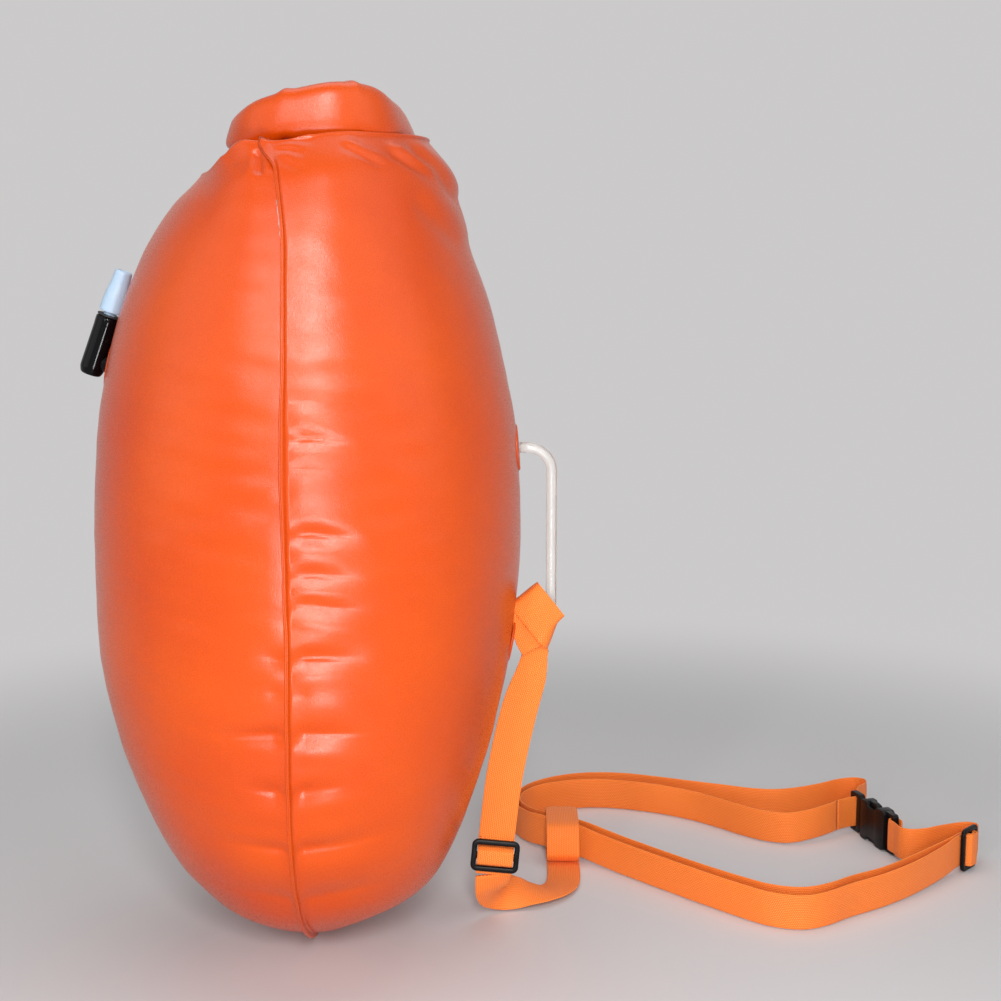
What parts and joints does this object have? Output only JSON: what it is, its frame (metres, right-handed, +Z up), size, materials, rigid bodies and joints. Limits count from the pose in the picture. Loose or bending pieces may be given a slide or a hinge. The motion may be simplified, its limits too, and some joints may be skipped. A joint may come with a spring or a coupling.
{
  "type": "swim buoy dry bag",
  "caption": "Inflated open-water swim float with a rolled dry-bag mouth, oral valve, rod handle, tether strap and adjustable waist belt with a side-release buckle.",
  "frame": {"origin": "middle of the top of the ring that the rolled mouth is bent into, where a hand or a hook holds the bag", "axes": "+Z up along the bag, +X from the valve side to the handle side, Y along the width of the two film panels"},
  "size_m": [0.6512, 0.4265, 0.5738],
  "materials": {
    "film": "glossy orange PVC film",
    "clear_film": "clear PVC film",
    "webbing": "woven orange webbing",
    "black_plastic": "satin black plastic",
    "blue_plastic": "pale blue-grey translucent plastic",
    "seal_rubber": "matte",
    "clear_rod": "clear plastic rod",
    "steel": "stainless wire"
  },
  "bodies": {
    "bag": {"front_panel": "film", "back_panel": "film", "divider_film": "clear_film", "roll_top": "film", "mouth_stiffener": "clear_film", "roll_tab_near": "webbing", "roll_tab_far": "webbing", "roll_buckle_female": "black_plastic", "valve_flange": "film", "valve_elbow": "black_plastic", "valve_seal": "seal_rubber", "valve_spring": "steel", "handle": "clear_rod", "handle_patch_upper": "film", "handle_patch_lower": "film", "tether_strap_outer": "webbing", "tether_strap_inner": "webbing", "tether_loop": "webbing", "keeper_loop": "webbing", "belt_outer": "webbing", "belt_inner": "webbing", "belt_female_tab": "webbing", "waist_buckle_female": "black_plastic"},
    "mouthpiece_body": {"mouthpiece": "blue_plastic", "valve_poppet": "black_plastic"},
    "roll_male": {"roll_buckle_male": "black_plastic"},
    "roll_upper": {"roll_buckle_prong_upper": "black_plastic"},
    "roll_lower": {"roll_buckle_prong_lower": "black_plastic"},
    "knot": {"tether_knot": "webbing"},
    "tether_adjuster": {"tether_slider": "black_plastic"},
    "belt_adjuster": {"belt_slider": "black_plastic"},
    "waist_male": {"waist_buckle_male": "black_plastic", "belt_male_wrap": "webbing"},
    "waist_upper": {"waist_prong_upper": "black_plastic"},
    "waist_lower": {"waist_prong_lower": "black_plastic"}
  },
  "joints": [
    {"name": "mouthpiece_push", "type": "slide", "parent": "bag", "child": "mouthpiece_body", "axis": [-0.2177, 0, -0.976], "range_m": [0, 0.0024], "stiffness_N_per_m": 300, "springref_m": -0.001, "deforming": ["valve_spring"]},
    {"name": "roll_buckle_release", "type": "slide", "parent": "bag", "child": "roll_male", "axis": [0, -1, 0], "range_m": [0, 0.018], "deforming": ["roll_tab_near", "roll_buckle_prong_upper", "roll_buckle_prong_lower"]},
    {"name": "roll_prong_squeeze", "type": "hinge", "parent": "roll_male", "child": "roll_upper", "pos_m": [-0.052, -0.01316, -0.01388], "axis": [-1, 0, 0], "range_deg": [0, 8], "stiffness_Nm_per_rad": 0.02},
    {"name": "roll_prong_lower_squeeze", "type": "hinge", "parent": "roll_male", "child": "roll_lower", "pos_m": [-0.052, -0.01316, -0.02988], "axis": [-1, 0, 0], "range_deg": [-8, 0], "stiffness_Nm_per_rad": 0.02},
    {"name": "knot_slide", "type": "slide", "parent": "bag", "child": "knot", "axis": [0, 0, 1], "range_m": [0, 0.06], "deforming": ["tether_strap_outer", "tether_strap_inner"]},
    {"name": "tether_adjust", "type": "slide", "parent": "bag", "child": "tether_adjuster", "axis": [0.09, 0, 0.9959], "range_m": [0, 0.04], "deforming": ["tether_strap_outer", "tether_strap_inner"]},
    {"name": "belt_adjust", "type": "slide", "parent": "bag", "child": "belt_adjuster", "axis": [-0.6606, -0.7507, 0], "range_m": [0, 0.012], "deforming": ["belt_outer", "belt_inner"]},
    {"name": "waist_buckle_release", "type": "slide", "parent": "bag", "child": "waist_male", "axis": [-0.2991, 0.9542, 0], "range_m": [0, 0.032], "deforming": ["belt_outer", "belt_inner", "waist_prong_upper", "waist_prong_lower"]},
    {"name": "waist_prong_squeeze", "type": "hinge", "parent": "waist_male", "child": "waist_upper", "pos_m": [0.41332, 0.19551, -0.5472], "axis": [0.9542, 0.2991, 0], "range_deg": [0, 8], "stiffness_Nm_per_rad": 0.04},
    {"name": "waist_prong_lower_squeeze", "type": "hinge", "parent": "waist_male", "child": "waist_lower", "pos_m": [0.41332, 0.19551, -0.5672], "axis": [0.9542, 0.2991, 0], "range_deg": [-8, 0], "stiffness_Nm_per_rad": 0.04}
  ],
  "couplings": [
    {"joint": "roll_prong_lower_squeeze", "follows": "roll_prong_squeeze", "ratio": -1},
    {"joint": "waist_prong_lower_squeeze", "follows": "waist_prong_squeeze", "ratio": -1}
  ]
}
